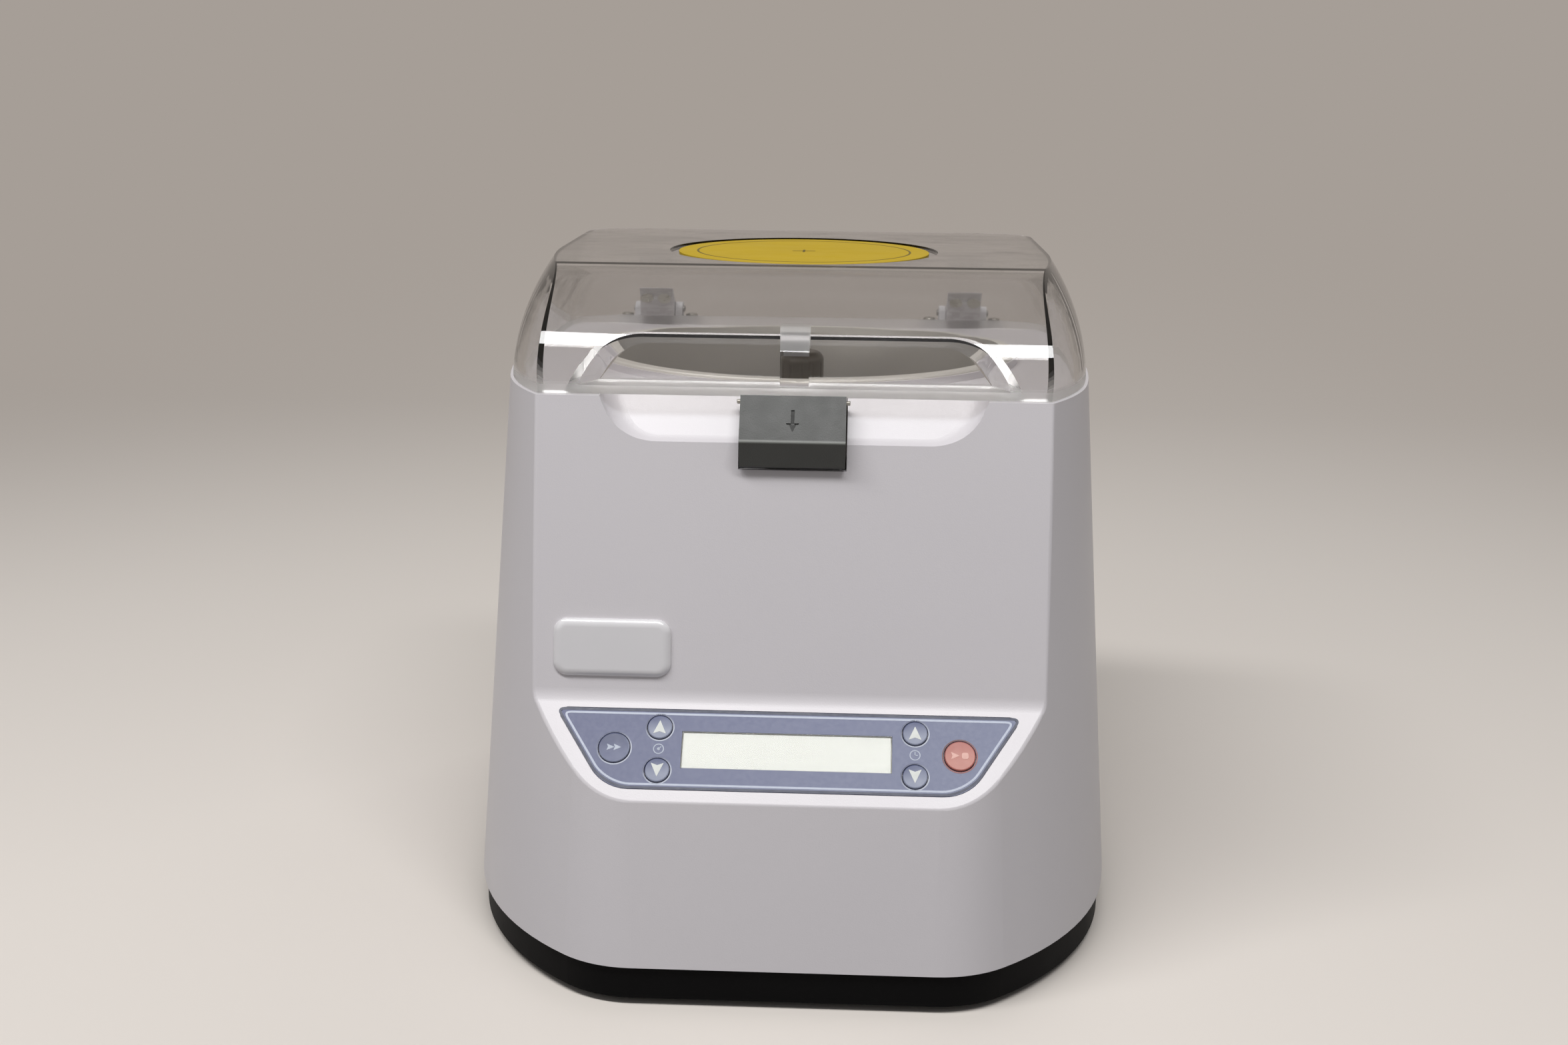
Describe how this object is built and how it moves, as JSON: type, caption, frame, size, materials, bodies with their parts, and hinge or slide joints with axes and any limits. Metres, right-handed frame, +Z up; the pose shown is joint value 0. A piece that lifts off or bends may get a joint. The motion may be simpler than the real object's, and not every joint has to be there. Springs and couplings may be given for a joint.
{
  "type": "microplate centrifuge",
  "caption": "Bench centrifuge for standing microplates, with a white drafted casing, blue keypad with display, black front latch and clear curved lid.",
  "frame": {"origin": "on the table under the rotor axis, which is the bottom centre of the bounding box", "axes": "+Z up along the rotor axis, -Y to the front with the control face and latch, +X to the right seen from the front"},
  "size_m": [0.25, 0.293, 0.249],
  "materials": {
    "casing_white": "moulded, fine eggshell texture",
    "pan_black": "moulded, matt",
    "foot_rubber": "matt",
    "screw_steel": "plated",
    "bowl_grey": "spun, satin",
    "seal_rubber": "matt",
    "lid_clear": "polished, clear",
    "disc_yellow": "printed film",
    "badge_pale": "domed, polished",
    "panel_grey": "powder coated",
    "socket_black": "moulded",
    "blade_metal": "nickel plated",
    "hinge_steel": "satin",
    "arm_white": "moulded",
    "bracket_white": "powder coated",
    "latch_black": "moulded, fine texture",
    "overlay_blue": "printed film, satin",
    "window_clear": "clear",
    "display_pale": "pale reflective display",
    "button_blue": "satin",
    "button_pale": "satin",
    "button_red": "satin",
    "board_green": "solder mask",
    "post_nylon": "natural",
    "motor_dark": "satin",
    "motor_alu": "machined",
    "core_steel": "laminated",
    "rotor_alu": "anodised, satin",
    "knob_brown": "moulded, satin"
  },
  "bodies": {
    "casing": {"base_pan": "pan_black", "rubber_feet": "foot_rubber", "pan_screws": "screw_steel", "main_housing": "casing_white", "front_badge": "badge_pale", "rear_panel": "panel_grey", "rear_panel_screws": "screw_steel", "power_inlet": "socket_black", "inlet_blades": "blade_metal", "switch_bezel": "socket_black", "chamber_bowl": "bowl_grey", "bowl_seal": "seal_rubber", "shaft_seal": "seal_rubber", "hinge_brackets": "bracket_white", "bracket_screws": "screw_steel", "hinge_pins": "hinge_steel", "latch_pin": "screw_steel", "latch_bracket": "hinge_steel", "bracket_bolts": "screw_steel", "lid_sensor": "socket_black", "keypad_overlay": "overlay_blue", "display_window": "window_clear", "display_module": "display_pale", "control_board": "board_green", "board_posts": "post_nylon", "motor_can": "motor_dark", "motor_cap": "motor_alu", "motor_stator": "core_steel", "motor_bearings": "hinge_steel", "motor_plate": "motor_alu", "motor_screws": "screw_steel", "motor_dampers": "foot_rubber", "damper_posts": "pan_black", "supply_board": "board_green", "supply_posts": "post_nylon"},
    "lid": {"lid_shell": "lid_clear", "lid_disc": "disc_yellow", "hinge_arms": "arm_white", "hinge_arm_screws": "screw_steel"},
    "latch": {"latch_lever": "latch_black", "latch_spring": "screw_steel"},
    "rotor": {"motor_shaft": "hinge_steel", "motor_core": "core_steel", "rotor_hub": "rotor_alu", "rotor_cradle": "rotor_alu", "rotor_screws": "screw_steel"},
    "knob": {"rotor_knob": "knob_brown"},
    "fuse_drawer": {"fuse_drawer": "socket_black"},
    "power_rocker": {"power_rocker": "socket_black"},
    "short_spin_button": {"short_spin_button": "button_pale"},
    "speed_up_button": {"speed_up_button": "button_blue"},
    "speed_down_button": {"speed_down_button": "button_blue"},
    "time_up_button": {"time_up_button": "button_blue"},
    "time_down_button": {"time_down_button": "button_blue"},
    "start_stop_button": {"start_stop_button": "button_red"}
  },
  "joints": [
    {"name": "lid_hinge", "type": "hinge", "parent": "casing", "child": "lid", "pos_m": [0, 0.123, 0.215], "axis": [-1, 0, 0], "range_deg": [0, 78]},
    {"name": "latch_pivot", "type": "hinge", "parent": "casing", "child": "latch", "pos_m": [0, -0.0996, 0.2066], "axis": [1, 0, 0], "range_deg": [0, 7], "stiffness_Nm_per_rad": 0.03, "springref_deg": -20.05},
    {"name": "rotor_spin", "type": "hinge", "parent": "casing", "child": "rotor", "pos_m": [0, 0, 0.1], "axis": [0, 0, 1], "continuous": true},
    {"name": "knob_turn", "type": "hinge", "parent": "rotor", "child": "knob", "pos_m": [0, 0, 0.2], "axis": [0, 0, 1], "continuous": true},
    {"name": "fuse_drawer_slide", "type": "slide", "parent": "casing", "child": "fuse_drawer", "axis": [0, 0.9969, 0.079], "range_m": [0, 0.012]},
    {"name": "rocker_tip", "type": "hinge", "parent": "casing", "child": "power_rocker", "pos_m": [-0.036, 0.13783, 0.05368], "axis": [1, 0, 0], "range_deg": [0, 16]},
    {"name": "short_spin_button_press", "type": "slide", "parent": "casing", "child": "short_spin_button", "axis": [0, 0.7349, -0.6782], "range_m": [0, 0.0006], "stiffness_N_per_m": 1200, "springref_m": -0.001},
    {"name": "speed_up_button_press", "type": "slide", "parent": "casing", "child": "speed_up_button", "axis": [0, 0.7349, -0.6782], "range_m": [0, 0.0006], "stiffness_N_per_m": 1200, "springref_m": -0.001},
    {"name": "speed_down_button_press", "type": "slide", "parent": "casing", "child": "speed_down_button", "axis": [0, 0.7349, -0.6782], "range_m": [0, 0.0006], "stiffness_N_per_m": 1200, "springref_m": -0.001},
    {"name": "time_up_button_press", "type": "slide", "parent": "casing", "child": "time_up_button", "axis": [0, 0.7349, -0.6782], "range_m": [0, 0.0006], "stiffness_N_per_m": 1200, "springref_m": -0.001},
    {"name": "time_down_button_press", "type": "slide", "parent": "casing", "child": "time_down_button", "axis": [0, 0.7349, -0.6782], "range_m": [0, 0.0006], "stiffness_N_per_m": 1200, "springref_m": -0.001},
    {"name": "start_stop_button_press", "type": "slide", "parent": "casing", "child": "start_stop_button", "axis": [0, 0.7349, -0.6782], "range_m": [0, 0.0006], "stiffness_N_per_m": 1200, "springref_m": -0.001}
  ]
}
